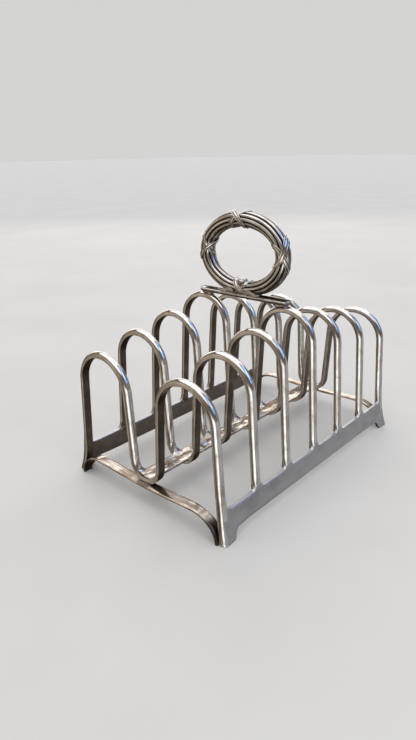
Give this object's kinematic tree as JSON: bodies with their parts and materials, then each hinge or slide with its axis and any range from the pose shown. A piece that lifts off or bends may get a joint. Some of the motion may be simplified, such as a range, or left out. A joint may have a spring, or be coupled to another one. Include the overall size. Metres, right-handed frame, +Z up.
{
  "type": "toast rack",
  "caption": "Silver-plated toast rack with double-arch wire hoops on two side rails with bracket feet, and an oval reed-and-ribbon ring handle on a cross trough.",
  "frame": {"origin": "on the table plane, at the centre of the rack's footprint", "axes": "+Z up, +Y along the row of hoops from the front to the back, +X across the rack to the right seen from the front"},
  "size_m": [0.1048, 0.1592, 0.1355],
  "materials": {
    "bright_silver": "polished silver plate with a light warm tarnish and fine wear marks",
    "satin_silver": "dulled satin silver plate, greyed by handling, with brighter edges",
    "cast_silver": "cast silver plate with dark tarnish left in the grooves"
  },
  "bodies": {
    "root": {"hoop_1": "bright_silver", "hoop_2": "bright_silver", "hoop_3": "bright_silver", "hoop_4": "bright_silver", "hoop_5": "bright_silver", "hoop_6": "bright_silver", "hoop_7": "bright_silver", "side_rail_left": "satin_silver", "side_rail_right": "satin_silver", "end_bar_front": "bright_silver", "end_bar_rear": "bright_silver", "centre_bar": "bright_silver", "handle_bar": "bright_silver", "handle_ring": "cast_silver", "ribbon_tie_top": "cast_silver", "ribbon_tie_left": "cast_silver", "ribbon_tie_right": "cast_silver", "ribbon_tie_bottom": "cast_silver", "ring_boss": "cast_silver", "ribbon_tail_left": "cast_silver", "ribbon_tail_right": "cast_silver"}
  },
  "joints": []
}
